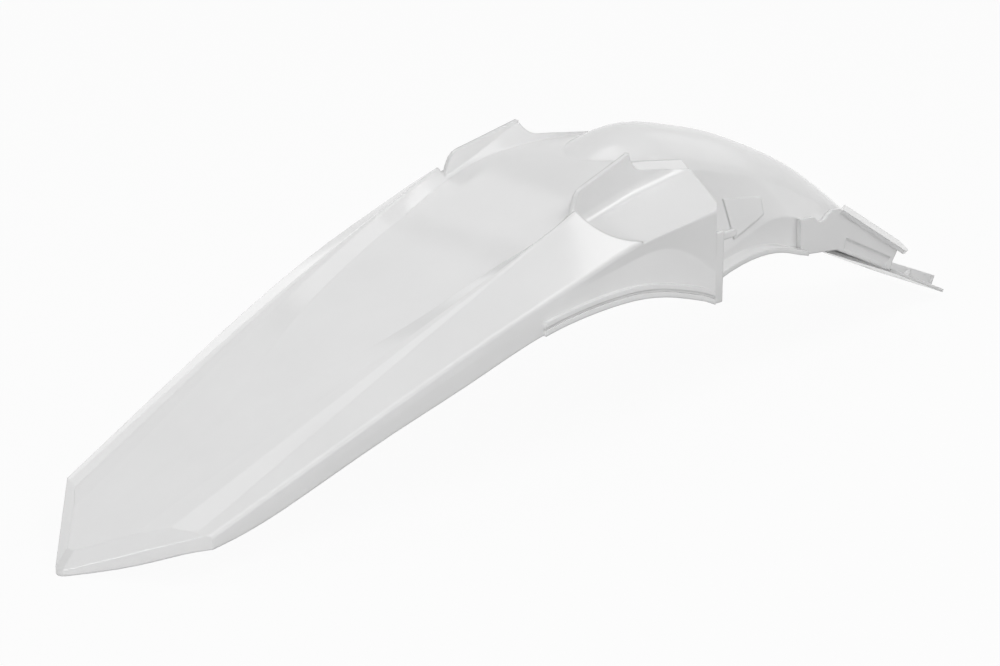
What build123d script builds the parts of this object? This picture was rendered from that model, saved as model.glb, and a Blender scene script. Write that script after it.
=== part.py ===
from build123d import *
import math
import os

# A motocross rear fender: one thin-walled moulding, shown as it rests on its tail and front tongue.
# X runs forward along the motorcycle, Y to its left and Z up; the floor is Z = 0.

# Overall sizes and walls
TAIL_X = -345.0
TONGUE_X = 345.0
WALL = 2.8

# Working stock: reach of the cutting tools, and what stands below the lower edge until it is trimmed
REACH = 160.0
TRIM = 30.0
OVERLAP = 10.0

# Guide lines of the blade, each as (x, size) points: heights are over the floor, widths from the middle
FLOOR_Z = [(-297, 28.6), (-145, 90.0), (-12, 138.5), (20, 149.0), (52, 151.3), (93, 146.5)]
PANEL_Y = [(-297, 5), (-226, 7), (-165, 26), (-110, 40), (-60, 46), (-12, 49), (40, 39), (93, 38)]
RIDGE_Y = [(-297, 41.3), (-145, 53.9), (-12, 56.7), (40, 44.4), (93, 43.6)]
RIDGE_Z = [(-297, 29.6), (-145, 93.3), (-12, 144.8), (40, 164.3), (93, 178.0)]
CREASE_Y = [(-288, 61.2), (-136, 79.4), (-59, 85.8), (18, 89.0), (66, 89.0)]
CREASE_Z = [(-288, 24.8), (-136, 84.9), (-59, 110.1), (18, 129.9), (66, 133.0)]
COVE_DROP = [(-288, 6), (-59, 7), (-12, 8), (14, 10), (40, 16), (66, 32), (93, 44), (125, 46)]
COVE_DEPTH = [(-288, -0.4), (-59, -0.4), (0, 1.8), (40, 2.6), (66, 3.4), (125, 3.4)]
FOOT_Y = [(-277, 63.5), (-117, 81.0), (2, 92.5), (66, 95.5)]
BLADE_STATIONS = (-380, -330, -280, -226, -165, -110, -60, -12, 14, 40, 66, 93, 125)
RIDGE_ROUND = [
    (-380, 60), (-297, 60), (-226, 40), (-165, 22), (-110, 10), (-60, 4), (-12, 2), (125, 2),
]
CREASE_ROUND = 3.0

# Lower edge of the whole fender, seen from the side
FOOT_Z = [
    (-400, -6), (TAIL_X, 0), (-328, 3.6), (-311, 9.0), (-297, 14.6), (-277, 19.2), (-218, 38.5),
    (-168, 57), (-117, 73.7), (-65, 90), (-20, 95.5), (2, 95.5), (26, 92), (49, 85), (62, 80),
    (72, 75.5), (82, 75.5), (97, 80), (123, 85.5), (150, 84), (170, 77.5), (212, 68.5), (267, 42.8),
    (340, 9.0),
]

# Bevelled arrow tail
TAIL_SPREAD = 1.04
TAIL_ROUND = 6.0
BEVEL_TOP = (-329.0, 3.0, 20.5)
BEVEL_CORNER = (-297.3, 41.3, 29.6)
BEVEL_FOOT = (-343.0, 3.0, 5.0)

# Side-panel pocket behind the seat
POCKET_ARC = [(-12.9, 53.7), (-2.4, 80.0), (23.0, 90.8)]
POCKET_WALL_X = 40.0
POCKET_WALL_Y = 47.2
POCKET_FLOOR = (40.0, 88.0, 130.4)
POCKET_RISE_IN = 0.25
POCKET_RISE_FORWARD = 0.12
POCKET_FILLET = 6.0
FIN_OUTLINE = [
    (-12.9, 138), (-10.6, 146), (-8.4, 150.5), (-5.8, 153), (-2.6, 154.4), (14.7, 158.4), (44, 165.4),
    (44, 140),
]
LIP_X = 40.0
LIP_Z = 164.3
LIP_BEND = (0.36, 0.28)
RIM_X = 51.8
RIM_REAR_Z = 152.0
RIM_FRONT_Z = 145.0
RIM_FALL = 0.39
FRONT_EDGE = [(90.0, 44.0), (75.3, 83.3), (66.5, 92.0)]

# Arched saddle over the tyre
SADDLE_TOP = [
    (20, 145.5), (35, 149.8), (50, 154.2), (66, 158.2), (80, 160.3), (96, 160.2), (124, 153.2),
    (146, 146.2), (172, 135), (205, 117.9), (228, 102.2), (255, 80.2), (280, 54), (300, 31), (320, 8),
]
SADDLE_STATIONS = (20, 35, 50, 66, 80, 96, 124, 150, 175, 205, 230, 255, 280, 312)
SADDLE_SHOULDER_Y = 40.0
SADDLE_SHOULDER_DROP = 20.0
SADDLE_WALL_Y = [(50, 57), (160, 57), (212, 53.2), (267, 46), (310, 40)]
SADDLE_KNEE_Z = [
    (20, 88), (96, 89), (124, 95), (150, 102), (166, 101), (186, 92), (205, 84), (255, 52), (312, 10),
]
SADDLE_KNEE = 8.0
PAD_OUTLINE = [(119, 119.5), (150, 114.5), (146, 106), (119, 97)]
PAD_PROUD = 0.8
FLANGE_REAR_X = 84.0
FLANGE_FRONT_X = 173.0
FLANGE_Y = 67.0
FLANGE_THICK = 3.0

# Rolled double bead along the front skirt
BEAD_REAR_X = -66.0
BEAD_FRONT_X = 70.0
BEAD_PROUD = 2.2
BEAD_WIDTH = 3.2
BEAD_PITCH = 4.6

# Recessed lip in front of each skirt
LIP_REAR_X = 56.0
LIP_FRONT_X = 79.0
LIP_TOP = (86.0, 118.0)
LIP_FOOT = (85.4, 74.0)
TAB_FRONT_X = 90.0
TAB_Z = 112.5
TAB_HEIGHT = 4.0

# Side ears and their sloping rails
EAR_REAR = (172.0, 59.6)
EAR_FRONT = (276.0, 46.9)
EAR_OUTLINE = [
    (173, 97.5), (187, 95.5), (193, 91), (198, 90.5), (202, 93.5), (206, 95), (213, 94.2), (277, 53),
    (271, 46), (268.5, 41), (212, 68.5), (174, 75),
]
EAR_PANEL = [(221, 73.5), (268.5, 49), (265, 44.5), (219, 66.8)]
EAR_RECESS = 0.8
RAIL_REAR = (213.0, 55.0, 91.8)
RAIL_FRONT = (281.0, 46.9, 48.0)
RAIL_LEAN = (0.0, -13.5, 8.0)
RAIL_WIDTH = 14.5
RAIL_START = 19.0
RAIL_OVERHANG = 11.0
RAIL_ROUND = 5.0
RAIL_NOSE = 0.4
RAIL_THICK = 2.6

# Front tongue with its bolt holes
TONGUE_EDGE_Z = 3.0
TONGUE_SLOPE = 0.49
TONGUE_REAR_X = 283.0
TONGUE_REAR_Y = 40.0
TONGUE_WAIST_X = 316.0
TONGUE_WAIST_Y = 32.0
TONGUE_FRONT_Y = 29.0
TONGUE_ROUND = 6.0
TONGUE_THICK = 2.0
UPSTAND_Y = 18.6
UPSTAND_HEIGHT = 6.5
UPSTAND_THICK = 2.4
UPSTAND_BACK = 4.5
GUSSET_LENGTH = 9.0
BOLT_X = 318.0
BOLT_SPACING = 28.0
BOLT_HOLE = 6.6


def along(guide, x):
    """Smooth curve through the (x, size) points of a guide, carried on straight past its ends."""
    last = len(guide) - 1
    slopes = []
    for i in range(last + 1):
        before = guide[max(i - 1, 0)]
        after = guide[min(i + 1, last)]
        slopes.append((after[1] - before[1]) / (after[0] - before[0]))
    if x <= guide[0][0]:
        return guide[0][1] + slopes[0] * (x - guide[0][0])
    if x >= guide[last][0]:
        return guide[last][1] + slopes[last] * (x - guide[last][0])
    i = next(k for k in range(last) if x <= guide[k + 1][0])
    x0, v0 = guide[i]
    x1, v1 = guide[i + 1]
    span = x1 - x0
    u = (x - x0) / span
    start = v0 * (1 + 2 * u) * (1 - u) ** 2 + slopes[i] * span * u * (1 - u) ** 2
    end = v1 * u * u * (3 - 2 * u) + slopes[i + 1] * span * u * u * (u - 1)
    return start + end


def offset_line(points, distance):
    """Half section moved outwards by a distance; the first point is met by the level middle panel."""
    normals = [(0.0, 1.0)]
    for (y0, z0), (y1, z1) in zip(points, points[1:]):
        length = math.hypot(y1 - y0, z1 - z0)
        normals.append(((z0 - z1) / length, (y1 - y0) / length))
    normals.append(normals[-1])
    moved = []
    for (y, z), (ay, az), (by, bz) in zip(points, normals, normals[1:]):
        share = distance / (1 + ay * by + az * bz)
        moved.append((y + (ay + by) * share, z + (az + bz) * share))
    return moved


def rounded_wire(corners, x):
    """Closed section at x from (y, z, radius) corners; a radius becomes the ends and middle of its arc."""
    points = []
    for i, (y, z, radius) in enumerate(corners):
        here = Vector(x, y, z)
        if radius == 0:
            points.append(here)
            continue
        back = (Vector(x, *corners[i - 1][:2]) - here).normalized()
        ahead = (Vector(x, *corners[(i + 1) % len(corners)][:2]) - here).normalized()
        half = math.radians(back.get_angle(ahead)) / 2
        cut = radius / math.tan(half)
        middle = (back + ahead).normalized() * (radius / math.sin(half) - radius)
        points += [here + back * cut, here + middle, here + ahead * cut]
    return Wire.make_polygon(points, close=True)


def blade_section(x, grow, rounded):
    """Closed blade section at x, offset by grow from the outer skin."""
    crease_y = along(CREASE_Y, x)
    crease_z = along(CREASE_Z, x)
    foot_y = along(FOOT_Y, x)
    cove_z = crease_z - along(COVE_DROP, x)
    low_z = along(FOOT_Z, x) - TRIM
    half = [
        (along(PANEL_Y, x), along(FLOOR_Z, x)),
        (along(RIDGE_Y, x), along(RIDGE_Z, x)),
        (crease_y, crease_z),
        (crease_y - along(COVE_DEPTH, x), cove_z),
        (foot_y, low_z),
    ]
    half = offset_line(half, grow)
    half[-1] = (half[-1][0], low_z - OVERLAP if grow < 0 else low_z)
    radii = (0, along(RIDGE_ROUND, x), CREASE_ROUND, 0, 0) if rounded else (0, 0, 0, 0, 0)
    left = [(y, z, r) for (y, z), r in zip(half, radii)]
    right = [(-y, z, r) for y, z, r in reversed(left)]
    return rounded_wire(left + right, x)


def blade(grow, rounded):
    return Solid.make_loft([blade_section(x, grow, rounded) for x in BLADE_STATIONS])


def saddle_section(x, inset):
    """Closed arch section of the saddle at x, inset from the outer skin."""
    top = along(SADDLE_TOP, x)
    radius = (SADDLE_SHOULDER_Y ** 2 + SADDLE_SHOULDER_DROP ** 2) / (2 * SADDLE_SHOULDER_DROP)
    shoulder_y = SADDLE_SHOULDER_Y * (1 - inset / radius)
    shoulder_z = top - inset - SADDLE_SHOULDER_DROP * (1 - inset / radius)
    low_z = -TRIM - inset
    low_y = along(SADDLE_WALL_Y, x) - inset
    knee_z = min(along(SADDLE_KNEE_Z, x), shoulder_z - SADDLE_KNEE)
    crown = Edge.make_three_point_arc(
        (x, -shoulder_y, shoulder_z), (x, 0, top - inset), (x, shoulder_y, shoulder_z)
    )
    corners = [
        (shoulder_y, shoulder_z), (low_y, knee_z), (low_y, low_z),
        (-low_y, low_z), (-low_y, knee_z), (-shoulder_y, shoulder_z),
    ]
    sides = [Edge.make_line((x, *a), (x, *b)) for a, b in zip(corners, corners[1:])]
    return Wire([crown] + sides)


def saddle(inset):
    return Solid.make_loft([saddle_section(x, inset) for x in SADDLE_STATIONS])


def keep_inside(solid, point, outward):
    """What is left of a solid behind a cutting plane through a point, with its outward normal."""
    return split(solid, bisect_by=Plane(origin=point, z_dir=outward), keep=Keep.BOTTOM)


def tail_outline(inset):
    """Upright prism with the plan outline, an arrow with a rounded point, inset from the outer skin."""
    lean = math.sin(math.atan(TAIL_SPREAD))
    point_x = TAIL_X - TAIL_ROUND * (1 / lean - 1) + inset / lean
    wide_x = point_x + REACH / TAIL_SPREAD
    with BuildSketch() as plan:
        with BuildLine():
            Polyline((point_x, 0), (wide_x, REACH), (2 * REACH, REACH),
                     (2 * REACH, -REACH), (wide_x, -REACH), close=True)
        make_face()
        fillet(plan.vertices().sort_by(Axis.X)[0], TAIL_ROUND - inset)
    return extrude(plan.sketch, amount=2 * REACH, both=True)


def tail_cut(solid, inset):
    """Cut the blade's rear end to the bevelled arrow, inset from the outer skin."""
    for side in (1, -1):
        top = Vector(BEVEL_TOP[0], side * BEVEL_TOP[1], BEVEL_TOP[2])
        corner = Vector(BEVEL_CORNER[0], side * BEVEL_CORNER[1], BEVEL_CORNER[2])
        foot = Vector(BEVEL_FOOT[0], side * BEVEL_FOOT[1], BEVEL_FOOT[2])
        bevel = ((corner - top).cross(foot - top) * side).normalized()
        solid = keep_inside(solid, top - bevel * inset, bevel)
    slope = Vector(BEVEL_FOOT[2] - BEVEL_TOP[2], 0, BEVEL_TOP[0] - BEVEL_FOOT[0]).normalized()
    solid = keep_inside(solid, Vector(BEVEL_TOP[0], 0, BEVEL_TOP[2]) - slope * inset, slope)
    return solid & tail_outline(inset)


def front_cut(solid, inset):
    """Cut the blade's front end to the swept edges of the pockets."""
    for side in (1, -1):
        for inner, outer in zip(FRONT_EDGE, FRONT_EDGE[1:]):
            corner = Vector(inner[0], side * inner[1], 0)
            edge = Vector(outer[0], side * outer[1], 0) - corner
            forward = (edge.cross(Vector(0, 0, 1)) * side).normalized()
            solid = keep_inside(solid, corner - forward * inset, forward)
    return solid


def pocket_tool(side, grow):
    """Space of one side-panel pocket above its sloping floor."""
    rear, bend, outer = POCKET_ARC
    diagonal = grow * math.sqrt(0.5)
    start = (rear[0] - grow, side * (rear[1] - grow))
    middle = (bend[0] - diagonal, side * (bend[1] + diagonal))
    end = (outer[0], side * (outer[1] + grow))
    wall_y = POCKET_WALL_Y - grow
    outline = Wire([
        Edge.make_three_point_arc(start, middle, end),
        Edge.make_line(end, (end[0], side * REACH)),
        Edge.make_line((end[0], side * REACH), (REACH, side * REACH)),
        Edge.make_line((REACH, side * REACH), (REACH, side * wall_y)),
        Edge.make_line((REACH, side * wall_y), (POCKET_WALL_X, side * wall_y)),
        Edge.make_line((POCKET_WALL_X, side * wall_y), start),
    ])
    block = extrude(Face(outline), amount=2 * REACH, dir=(0, 0, 1))
    x, y, z = POCKET_FLOOR
    up = Vector(-POCKET_RISE_FORWARD, side * POCKET_RISE_IN, 1)
    floor = Plane(origin=(x, side * y, z - grow), z_dir=up)
    block = split(block, bisect_by=floor, keep=Keep.TOP)
    rim = block.faces().sort_by(Axis.Z)[0].edges()
    wall_foot = [e for e in rim if abs(e.center().Y) < abs(start[1])]
    return fillet(wall_foot, POCKET_FILLET + grow)


def lip_tool():
    """What is cut from the ridges in front of the lips, down to the pocket rims that fall outwards."""
    slope = (RIM_FRONT_Z - RIM_REAR_Z) / (FRONT_EDGE[0][0] - RIM_X)
    rim_end = (REACH, RIM_REAR_Z + slope * (REACH - RIM_X))
    bend = (LIP_X + LIP_BEND[0] * (RIM_X - LIP_X), RIM_REAR_Z + LIP_BEND[1] * (LIP_Z - RIM_REAR_Z))
    with BuildSketch(Plane.XZ.offset(-POCKET_WALL_Y)) as profile:
        with BuildLine():
            ThreePointArc((LIP_X, LIP_Z), bend, (RIM_X, RIM_REAR_Z))
            Polyline((RIM_X, RIM_REAR_Z), rim_end, (REACH, 2 * REACH), (LIP_X, 2 * REACH), (LIP_X, LIP_Z))
        make_face()
    inwards = extrude(profile.sketch, amount=REACH, dir=(0, -1, RIM_FALL))
    return both_sides(inwards + extrude(profile.sketch, amount=REACH, dir=(0, 1, 0)))


def below_foot():
    """Everything under the lower edge."""
    with BuildSketch(Plane.XZ) as profile:
        with BuildLine():
            Spline(*FOOT_Z)
            first = FOOT_Z[0]
            last = FOOT_Z[-1]
            Polyline(last, (last[0], -3 * REACH), (first[0], -3 * REACH), first)
        make_face()
    return extrude(profile.sketch, amount=REACH, both=True)


def box_between(low, high):
    """Block from its lowest to its highest corner."""
    size = [b - a for a, b in zip(low, high)]
    return Pos(*low) * Box(*size, align=(Align.MIN, Align.MIN, Align.MIN))


def foot_band(lift, width):
    """Band of a width that follows the lower edge, lifted above it."""
    return Pos(0, 0, lift + width) * below_foot() - Pos(0, 0, lift) * below_foot()


def both_sides(solid):
    return solid + mirror(solid, about=Plane.XZ)


def side_plate(rear, front, outline, depth):
    """Upright plate on the left through two plan points, with an (x, z) outline and a depth inwards."""
    run = Vector(front[0] - rear[0], front[1] - rear[1], 0)
    stretch = run.length / run.X
    with BuildSketch(Plane(origin=(*rear, 0), x_dir=run, z_dir=run.cross(Vector(0, 0, 1)))) as profile:
        with BuildLine():
            Polyline(*[((x - rear[0]) * stretch, z) for x, z in outline], close=True)
        make_face()
    return extrude(profile.sketch, amount=depth)


def fin():
    """Upright fin on the left that carries the ridge up to the lip along the pocket's inner wall."""
    return side_plate(POCKET_ARC[0], (POCKET_WALL_X, POCKET_WALL_Y), FIN_OUTLINE, WALL)


def saddle_flange():
    """Outward flange along the saddle's lower edge."""
    inner_y = along(SADDLE_WALL_Y, FLANGE_FRONT_X) - WALL / 2
    strip = box_between((FLANGE_REAR_X, inner_y, 0), (FLANGE_FRONT_X, FLANGE_Y, REACH))
    return both_sides(foot_band(0, FLANGE_THICK) & strip)


def skirt_beads():
    """Two parallel beads that stand proud of the skirts along their lower edge."""
    skirt = blade(BEAD_PROUD, False) - blade(-WALL / 2, False)
    reach = (BEAD_REAR_X, FOOT_Y[0][1], 0), (BEAD_FRONT_X, REACH, REACH)
    half = front_cut(skirt & box_between(*reach), 0)
    return both_sides(half & (foot_band(0, BEAD_WIDTH) + foot_band(BEAD_PITCH, BEAD_WIDTH)))


def skirt_lip():
    """Recessed lip and small tab that run on in front of a skirt, for the side panel to overlap."""
    top_y, top_z = LIP_TOP
    foot_y, foot_z = LIP_FOOT
    outline = Face(Wire.make_polygon([
        (LIP_REAR_X, top_y, top_z), (LIP_REAR_X, foot_y, foot_z),
        (LIP_REAR_X, foot_y - WALL, foot_z), (LIP_REAR_X, top_y - WALL, top_z),
    ]))
    lip = extrude(outline, amount=LIP_FRONT_X - LIP_REAR_X, dir=(1, 0, 0)) - below_foot()
    tab = box_between((LIP_REAR_X, foot_y - WALL, TAB_Z), (TAB_FRONT_X, foot_y, TAB_Z + TAB_HEIGHT))
    return both_sides(lip + tab)


def saddle_pad():
    """Slightly raised pad on each side wall of the saddle."""
    with BuildSketch(Plane.XZ) as profile:
        with BuildLine():
            Polyline(*PAD_OUTLINE, close=True)
        make_face()
    skin = saddle(-PAD_PROUD) - saddle(WALL / 2)
    return skin & extrude(profile.sketch, amount=REACH, both=True)


def ear():
    """Upright side plate beside the saddle's front end, on the left, with a sunken lower panel."""
    plate = side_plate(EAR_REAR, EAR_FRONT, EAR_OUTLINE, WALL)
    return plate - side_plate(EAR_REAR, EAR_FRONT, EAR_PANEL, EAR_RECESS)


def rail():
    """Sloping strip along the top of an ear, on the left, with a rounded front end."""
    rear = Vector(*RAIL_REAR)
    run = Vector(*RAIL_FRONT) - rear
    face = Plane(origin=rear, x_dir=run, z_dir=Vector(*RAIL_LEAN).cross(run))
    end = run.length + RAIL_OVERHANG
    with BuildSketch(face) as outline:
        with BuildLine():
            Polyline((0, 0), (run.length, 0), (end, -RAIL_NOSE * RAIL_WIDTH), (end, -RAIL_WIDTH),
                     (RAIL_START, -RAIL_WIDTH), close=True)
        make_face()
        fillet(outline.vertices().sort_by(Axis.X)[-2:], RAIL_ROUND)
    return extrude(outline.sketch, amount=RAIL_THICK)


def tongue_plane():
    """Top face of the tongue, with its X axis down the slope from the front edge."""
    slope = math.atan(TONGUE_SLOPE)
    edge_z = TONGUE_EDGE_Z + TONGUE_THICK * math.cos(slope)
    return Plane(origin=(TONGUE_X, 0, edge_z),
                 x_dir=(math.cos(slope), 0, -math.sin(slope)),
                 z_dir=(math.sin(slope), 0, math.cos(slope)))


def tongue():
    """Sloping front plate with a cross wall, its gusset and two bolt holes."""
    face = tongue_plane()
    stretch = math.hypot(1, TONGUE_SLOPE)
    rear = (TONGUE_REAR_X - face.origin.X) * stretch
    waist = (TONGUE_WAIST_X - face.origin.X) * stretch
    bolt = (BOLT_X - face.origin.X) * stretch
    with BuildSketch(face) as outline:
        with BuildLine():
            Polyline((rear, -TONGUE_REAR_Y), (waist, -TONGUE_WAIST_Y), (0, -TONGUE_FRONT_Y),
                     (0, TONGUE_FRONT_Y), (waist, TONGUE_WAIST_Y), (rear, TONGUE_REAR_Y), close=True)
        make_face()
        with Locations((bolt, BOLT_SPACING / 2), (bolt, -BOLT_SPACING / 2)):
            Circle(BOLT_HOLE / 2, mode=Mode.SUBTRACT)
    plate = extrude(outline.sketch, amount=-TONGUE_THICK)
    corners = plate.edges().filter_by(Axis(face.origin, face.z_dir)).sort_by(Axis.X)[-2:]
    plate = fillet(corners, TONGUE_ROUND)
    wall = face * (Pos(-UPSTAND_BACK, 0, 0) * Box(
        UPSTAND_THICK, 2 * UPSTAND_Y, 2 * UPSTAND_HEIGHT))
    with BuildSketch(face * Plane.XZ) as rib:
        with BuildLine():
            Polyline((-UPSTAND_BACK, UPSTAND_HEIGHT), (-UPSTAND_BACK, -TONGUE_THICK / 2),
                     (-UPSTAND_BACK - GUSSET_LENGTH, -TONGUE_THICK / 2), close=True)
        make_face()
    gusset = extrude(rib.sketch, amount=UPSTAND_THICK / 2, both=True)
    under = face * (Pos(0, 0, -TONGUE_THICK - REACH / 2) * Box(REACH, REACH, REACH))
    return plate + (wall - under) + gusset


def shell():
    """Thin skin of the blade, its pockets and the saddle."""
    outer = front_cut(tail_cut(blade(0, True), 0), 0) + both_sides(fin()) - lip_tool()
    inner = front_cut(tail_cut(blade(-WALL, False), WALL), WALL) - Pos(0, 0, -WALL) * lip_tool()
    for side in (1, -1):
        outer = outer - pocket_tool(side, 0)
        inner = inner - pocket_tool(side, WALL)
    skin = outer + saddle(0)
    return skin - inner - saddle(WALL) - below_foot()


os.makedirs("parts", exist_ok=True)
fender = shell() + saddle_flange() + saddle_pad() + skirt_beads() + skirt_lip()
fender = fender + both_sides(ear() + rail()) + tongue()
print(fender.is_valid, len(fender.solids()), fender.volume, fender.bounding_box())
export_step(fender, "parts/rear_fender.step")
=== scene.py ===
# %% [markdown]
# A motocross rear fender is one thin shell of white plastic, injected into one mould. The CAD model
# already holds that shell at its real size, so this lesson keeps its mesh and spends its effort on what
# a mesh can't say: how the plastic takes the light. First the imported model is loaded, and the box around
# it is kept, because nothing that is added later may leave that box.

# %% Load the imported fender
import math

import bpy
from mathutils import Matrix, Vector


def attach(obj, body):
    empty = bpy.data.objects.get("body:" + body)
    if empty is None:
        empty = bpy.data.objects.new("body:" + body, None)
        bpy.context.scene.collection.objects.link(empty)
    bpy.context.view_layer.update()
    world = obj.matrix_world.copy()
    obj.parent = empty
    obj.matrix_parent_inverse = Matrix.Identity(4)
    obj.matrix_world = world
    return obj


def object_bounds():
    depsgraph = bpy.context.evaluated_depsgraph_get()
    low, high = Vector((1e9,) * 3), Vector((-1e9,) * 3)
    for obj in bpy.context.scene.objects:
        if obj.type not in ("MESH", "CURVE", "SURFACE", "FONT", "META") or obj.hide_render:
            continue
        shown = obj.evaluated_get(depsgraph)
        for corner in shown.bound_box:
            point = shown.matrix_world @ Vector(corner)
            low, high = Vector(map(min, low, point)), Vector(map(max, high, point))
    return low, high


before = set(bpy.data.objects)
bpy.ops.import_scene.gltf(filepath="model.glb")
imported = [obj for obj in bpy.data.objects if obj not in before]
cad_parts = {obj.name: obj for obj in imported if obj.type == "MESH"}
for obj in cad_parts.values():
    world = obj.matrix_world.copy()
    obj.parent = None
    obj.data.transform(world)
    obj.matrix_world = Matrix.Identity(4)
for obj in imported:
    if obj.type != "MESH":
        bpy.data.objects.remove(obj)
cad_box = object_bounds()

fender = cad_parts["rear_fender"]
print("CAD box in metres:", [round(c, 4) for corner in cad_box for c in corner])
print("fender mesh:", len(fender.data.polygons), "triangles")

# %% [markdown]
# Colours are written as the hex values that a designer picks from a swatch, and Blender works in
# linear light, so one function turns the one into the other. Patterns are written the same way, by a
# size that can be measured on the real object: a noise that repeats every 3 mm has 333 repeats in a
# metre. Nodes could be added by hand one line at a time. One small function that adds a node with its
# settings and its links keeps each material short enough to read as a sentence.

# %% Colours, sizes and nodes


def linear(hex_colour):
    """sRGB hex text as linear red, green, blue and alpha."""
    parts = [int(hex_colour[i:i + 2], 16) / 255 for i in (1, 3, 5)]
    return [c / 12.92 if c <= 0.04045 else ((c + 0.055) / 1.055) ** 2.4 for c in parts] + [1.0]


def per_metre(size_mm):
    """How many times a pattern of this size repeats in a metre."""
    return 1000.0 / size_mm


def add_node(tree, kind, settings=None, links=None):
    """Add one node, set its sockets or properties by name, and link sources into its sockets."""
    node = tree.nodes.new(kind)
    for name, value in (settings or {}).items():
        if name in node.inputs:
            node.inputs[name].default_value = value
        else:
            setattr(node, name, value)
    for name, source in (links or {}).items():
        tree.links.new(source, node.inputs[name])
    return node


print("mid grey #808080 in linear light:", [round(c, 3) for c in linear("#808080")])

# %% [markdown]
# The plastic is white polypropylene, injection-moulded against polished steel. It isn't a mirror: the
# melt shrinks as it cools and leaves a faint orange peel, ripples a few millimetres wide and a
# hundredth of a millimetre deep, and where the flow slowed down the gloss is a little duller. It isn't
# opaque either, so light creeps a few millimetres into a wall and softens the shade. And no edge on a
# moulding is truly sharp: each has a radius of about a millimetre and a half, which catches the light as
# a thin bright line. That radius could be cut into the mesh with a bevel, but on a shell with so many
# short edges the bevel folds over itself. The Bevel node bends the normals alone, which is enough here.

# %% White polypropylene
PALE_WHITE, BRIGHT_WHITE = "#e9e9e9", "#efefef"
GLOSSY, DULL = 0.11, 0.18  # roughness where the melt flowed well and where it slowed down
CLOUD_MM = 38.0  # width of the patches where the gloss and the white drift
EDGE_MM = 1.6  # radius at the edges of the moulding
EDGE_SAMPLES = 8
PEEL_MM = 3.2  # width of one orange-peel ripple
PEEL_DEEP_MM = 0.012
PLASTIC_IOR = 1.49
MILKY_SHARE = 0.1  # how much of the light goes into the wall
CREEP_MM = 3.0  # how far it creeps there


def moulded_polypropylene():
    """White, half glossy and slightly milky, with soft edges and a faint ripple in its highlights."""
    material = bpy.data.materials.new("injection_moulded_polypropylene")
    material.use_nodes = True
    tree = material.node_tree
    shader = tree.nodes["Principled BSDF"]
    place = add_node(tree, "ShaderNodeTexCoord").outputs["Object"]
    cloud = add_node(tree, "ShaderNodeTexNoise", {"Scale": per_metre(CLOUD_MM), "Detail": 3.0},
                     {"Vector": place}).outputs["Fac"]
    white = add_node(tree, "ShaderNodeMixRGB",
                     {"Color1": linear(PALE_WHITE), "Color2": linear(BRIGHT_WHITE)}, {"Fac": cloud})
    gloss = add_node(tree, "ShaderNodeMapRange", {"To Min": GLOSSY, "To Max": DULL}, {"Value": cloud})
    edges = add_node(tree, "ShaderNodeBevel", {"samples": EDGE_SAMPLES, "Radius": EDGE_MM / 1000})
    peel = add_node(tree, "ShaderNodeTexNoise", {"Scale": per_metre(PEEL_MM), "Detail": 1.0},
                    {"Vector": place}).outputs["Fac"]
    ripple = add_node(tree, "ShaderNodeBump", {"Strength": 1.0, "Distance": PEEL_DEEP_MM / 1000},
                      {"Height": peel, "Normal": edges.outputs["Normal"]})
    tree.links.new(white.outputs["Color"], shader.inputs["Base Color"])
    tree.links.new(gloss.outputs["Result"], shader.inputs["Roughness"])
    tree.links.new(ripple.outputs["Normal"], shader.inputs["Normal"])
    shader.inputs["IOR"].default_value = PLASTIC_IOR
    shader.inputs["Subsurface Weight"].default_value = MILKY_SHARE
    shader.inputs["Subsurface Radius"].default_value = (1.0, 1.0, 1.0)
    shader.inputs["Subsurface Scale"].default_value = CREEP_MM / 1000
    return material


plastic = moulded_polypropylene()
fender.data.materials.clear()
fender.data.materials.append(plastic)
print("plastic:", plastic.name, "with", len(plastic.node_tree.nodes), "nodes")

# %% [markdown]
# Along the lower edge of each skirt the photograph shows three fine lines side by side: two proud beads,
# which the CAD model has, and a slimmer one that fills the groove between them. Its line isn't drawn by
# eye. Rays are sent in from the right at each step along the skirt: the first height at which one meets
# plastic is the lower edge, and two more, a little higher, feel the lower bead and the floor of the
# groove. A point is kept where the groove is about as deep behind the bead as it should be.

# %% Feel out the groove between the beads
BEAD_REAR, BEAD_FRONT = -0.0655, 0.0665  # ends of the slim bead along the skirt, in metres
BEAD_STEPS = 33
FEEL_STEP = 0.0002  # how finely the lower edge is searched for
BEAD_LIFT, GROOVE_LIFT = 0.0016, 0.0039  # middle of the lower bead and of the groove above the edge
GROOVE_DEPTH = 0.0022
LEAST_SHARE, MOST_SHARE = 0.5, 2.0  # of that depth, for a point to be kept
RAY_START = 0.05  # how far outside the box each ray starts
INWARDS = (0.0, 1.0, 0.0)


def feel(x, z):
    """Whether a ray from the right meets plastic at this place, and where."""
    hit, point, _, _ = fender.ray_cast((x, cad_box[0][1] - RAY_START, z), INWARDS)
    return hit, point


def groove_line():
    """Points on the floor of the right-hand groove, from the rear to the front."""
    line = []
    for step in range(BEAD_STEPS + 1):
        x = BEAD_REAR + (BEAD_FRONT - BEAD_REAR) * step / BEAD_STEPS
        edge = cad_box[0][2]
        while edge < cad_box[1][2] and not feel(x, edge)[0]:
            edge += FEEL_STEP
        on_bead, bead = feel(x, edge + BEAD_LIFT)
        in_groove, groove = feel(x, edge + GROOVE_LIFT)
        if on_bead and in_groove and LEAST_SHARE < (groove.y - bead.y) / GROOVE_DEPTH < MOST_SHARE:
            line.append(groove)
    return line


right_line = groove_line()
left_line = [Vector((p.x, -p.y, p.z)) for p in right_line]
print("groove felt at", len(right_line), "points, from x =", round(right_line[0].x, 4), "to",
      round(right_line[-1].x, 4))

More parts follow.
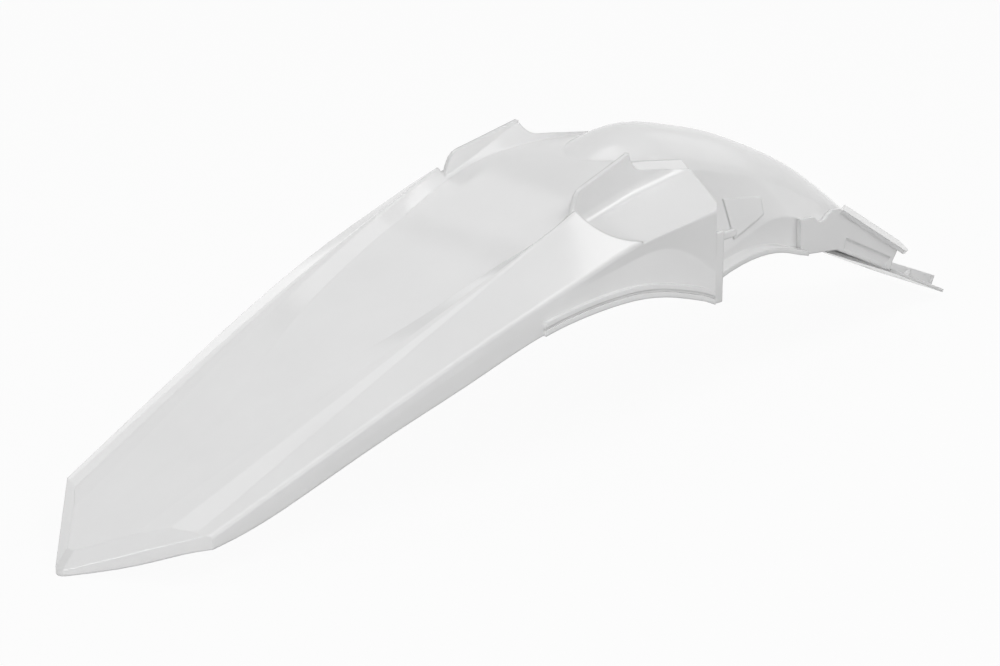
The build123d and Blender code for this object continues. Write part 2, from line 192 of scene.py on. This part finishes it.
# %% [markdown]
# The slim bead could be a curve with a round bevel. Here it is made as by hand: a small disc stands
# across the rear end of the groove and is extruded from point to point, so that the bead bends with the
# skirt. The disc is a little wider than the groove, so the bead sinks into both neighbours and leaves
# no gap, and it stands lower than they do, as in the photograph.

# %% Slim bead on each skirt
SLIM_RADIUS = 0.00095
SLIM_STAND = 0.0010  # how far its middle stands off the floor of the groove
SLIM_SIDES = 12
SMOOTH_DEGREES = 40  # faces that meet at less than this are shaded as one


def slim_bead(name, line, outwards):
    """Extrude a disc along a line of points, a little off the skirt."""
    path = [point + Vector((0, outwards * SLIM_STAND, 0)) for point in line]
    bpy.ops.object.select_all(action="DESELECT")
    bpy.ops.mesh.primitive_circle_add(vertices=SLIM_SIDES, radius=SLIM_RADIUS, fill_type="NGON",
                                      location=path[0], rotation=(0, math.pi / 2, 0))
    bead = bpy.context.object
    bead.name = name
    bpy.ops.object.transform_apply(location=True, rotation=True, scale=True)
    bpy.ops.object.mode_set(mode="EDIT")
    bpy.ops.mesh.select_all(action="SELECT")
    for here, there in zip(path, path[1:]):
        bpy.ops.mesh.extrude_region_move(TRANSFORM_OT_translate={"value": there - here})
    bpy.ops.mesh.select_all(action="SELECT")
    bpy.ops.mesh.normals_make_consistent(inside=False)
    bpy.ops.mesh.select_all(action="DESELECT")
    bpy.ops.mesh.select_non_manifold()
    bpy.ops.object.mode_set(mode="OBJECT")
    gaps = sum(edge.select for edge in bead.data.edges)
    bpy.ops.object.shade_smooth_by_angle(angle=math.radians(SMOOTH_DEGREES))
    bead.data.materials.append(plastic)
    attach(bead, "root")
    print(name, len(bead.data.polygons), "faces,", gaps, "open edges")


slim_bead("skirt_slim_bead_right", right_line, -1)
slim_bead("skirt_slim_bead_left", left_line, 1)

# %% [markdown]
# The photograph is a cut-out on plain white. A white floor lit by lamps alone would need more light
# than the fender can bear without burning out, so the sheet glows faintly, but only for what the
# camera sees, directly, in a gloss or through a clear part. For the light that bounces it stays plain
# pale paper, and a little of that paper shows through the glow, so that the fender keeps its shadow.

# %% Floor
FLOOR_SIZE = 12.0
PALE_PAPER = "#d0d0d0"
GLOW_WHITE = 1.0  # strength at which a background renders white
GLOW_SHARE = 0.95
bpy.ops.object.select_all(action="DESELECT")
bpy.ops.mesh.primitive_plane_add(size=FLOOR_SIZE, location=(0, 0, 0))
floor = bpy.context.object
floor.name = "floor"


def seen_directly(tree):
    """1 for rays that show the background itself: from the camera, in a gloss or through glass."""
    path = add_node(tree, "ShaderNodeLightPath")
    either = add_node(tree, "ShaderNodeMath", {"operation": "MAXIMUM"},
                      {0: path.outputs["Is Camera Ray"], 1: path.outputs["Is Glossy Ray"]})
    return add_node(tree, "ShaderNodeMath", {"operation": "MAXIMUM"},
                    {0: either.outputs[0], 1: path.outputs["Is Transmission Ray"]}).outputs[0]


def white_sweep():
    """Matt pale paper that looks evenly white to the camera."""
    material = bpy.data.materials.new("white_paper_sweep")
    material.use_nodes = True
    tree = material.node_tree
    tree.nodes.clear()
    paper = add_node(tree, "ShaderNodeBsdfDiffuse", {"Color": linear(PALE_PAPER)})
    glow = add_node(tree, "ShaderNodeEmission", {"Strength": GLOW_WHITE})
    seen = add_node(tree, "ShaderNodeMixShader", {"Fac": GLOW_SHARE},
                    {1: paper.outputs[0], 2: glow.outputs[0]})
    both = add_node(tree, "ShaderNodeMixShader", {},
                    {"Fac": seen_directly(tree), 1: paper.outputs[0], 2: seen.outputs[0]})
    add_node(tree, "ShaderNodeOutputMaterial", {}, {"Surface": both.outputs[0]})
    return material


floor.data.materials.append(white_sweep())
print("floor:", FLOOR_SIZE, "m square, glow share", GLOW_SHARE)

# %% [markdown]
# The camera stands behind the fender on the rider's right and looks down along it, as the photographer
# did. Its place, turn and long lens were fitted to points that show clearly in the photograph: the tip
# of the tail, the corners of the pockets and the end of the tongue. A long lens from far away keeps the
# tail from looking larger than it is.

# %% Camera
CAMERA_PLACE = (-1.72552, -1.78317, 0.93198)
CAMERA_TURN = (70.5, 0.0, -43.772)  # degrees
LENS_MM = 162.96
SENSOR_MM = 36.0
camera_data = bpy.data.cameras.new("camera")
camera_data.lens = LENS_MM
camera_data.sensor_width = SENSOR_MM
camera = bpy.data.objects.new("camera", camera_data)
camera.location = CAMERA_PLACE
camera.rotation_euler = [math.radians(a) for a in CAMERA_TURN]
bpy.context.scene.collection.objects.link(camera)
bpy.context.scene.camera = camera
print("camera at", CAMERA_PLACE, "with a", LENS_MM, "mm lens")

# %% [markdown]
# White on white lives from small steps of grey. An even sky would flatten every crease, so the sky is
# nearly dark and soft boxes do the modelling, as in a photographer's studio. A box over the right side
# lights the flank, and two over the left keep the far edge from sinking. A low one behind the tail lifts
# its bevels, and one beside each skirt and one before the nose fill the upright walls. The left one of
# these is also what the far edge mirrors as a bright strip. The last two are small and bright, and they
# are there for what they do in the gloss: one draws the streak at the foot of the pocket's wall, the
# other the bright front end of the flank. Together they light white plastic to about the grey that it is
# written in, so nothing burns out.

# %% Light
SKY = 0.05  # strength of the sky's own light; where it is seen, it is as white as the floor
world = bpy.data.worlds.new("studio")
bpy.context.scene.world = world
world.use_nodes = True
sky_tree = world.node_tree
sky = sky_tree.nodes["Background"]
sky.inputs["Color"].default_value = (1.0, 1.0, 1.0, 1.0)
strength = add_node(sky_tree, "ShaderNodeMapRange", {"To Min": SKY, "To Max": GLOW_WHITE},
                    {"Value": seen_directly(sky_tree)})
sky_tree.links.new(strength.outputs["Result"], sky.inputs["Strength"])


def softbox(name, place, target, size, watts):
    """A rectangular lamp at a place, turned towards a target."""
    light = bpy.data.lights.new(name, "AREA")
    light.shape = "RECTANGLE"
    light.size, light.size_y = size
    light.energy = watts
    lamp = bpy.data.objects.new(name, light)
    lamp.location = place
    aim = Vector(target) - Vector(place)
    lamp.rotation_euler = aim.to_track_quat("-Z", "Y").to_euler()
    bpy.context.scene.collection.objects.link(lamp)
    return lamp


boxes = [
    softbox("near_box", (-0.05, -0.9, 1.45), (0.0, 0.0, 0.1), (1.4, 0.7), 6.8),
    softbox("far_box", (0.1, 0.6, 1.6), (0.0, 0.0, 0.1), (1.4, 0.6), 4.3),
    softbox("left_box", (-0.1, 1.3, 1.2), (0.0, 0.0, 0.1), (1.4, 0.8), 3.0),
    softbox("tail_box", (-1.9, -0.5, 0.45), (-0.2, 0.0, 0.08), (0.9, 0.6), 14.0),
    softbox("right_skirt_box", (-0.3, -1.8, 0.4), (0.0, 0.0, 0.08), (1.4, 0.6), 5.4),
    softbox("left_skirt_box", (0.3, 1.8, 0.36), (0.2, 0.0, 0.08), (1.4, 0.72), 2.3),
    softbox("nose_box", (1.6, 0.3, 1.0), (0.1, 0.0, 0.1), (1.0, 0.8), 1.2),
    softbox("streak_box", (0.98, -0.62, 1.28), (0.05, 0.0, 0.12), (0.6, 0.6), 4.6),
    softbox("flank_box", (0.53, -0.46, 1.5), (0.0, 0.0, 0.1), (0.5, 0.5), 2.8),
]
print("soft boxes:", [(box.name, round(box.data.energy, 1)) for box in boxes])

# %% [markdown]
# Last, the view transform is set to Standard, so that a colour renders about as it is written.

# %% Finish
bpy.context.scene.view_settings.view_transform = "Standard"
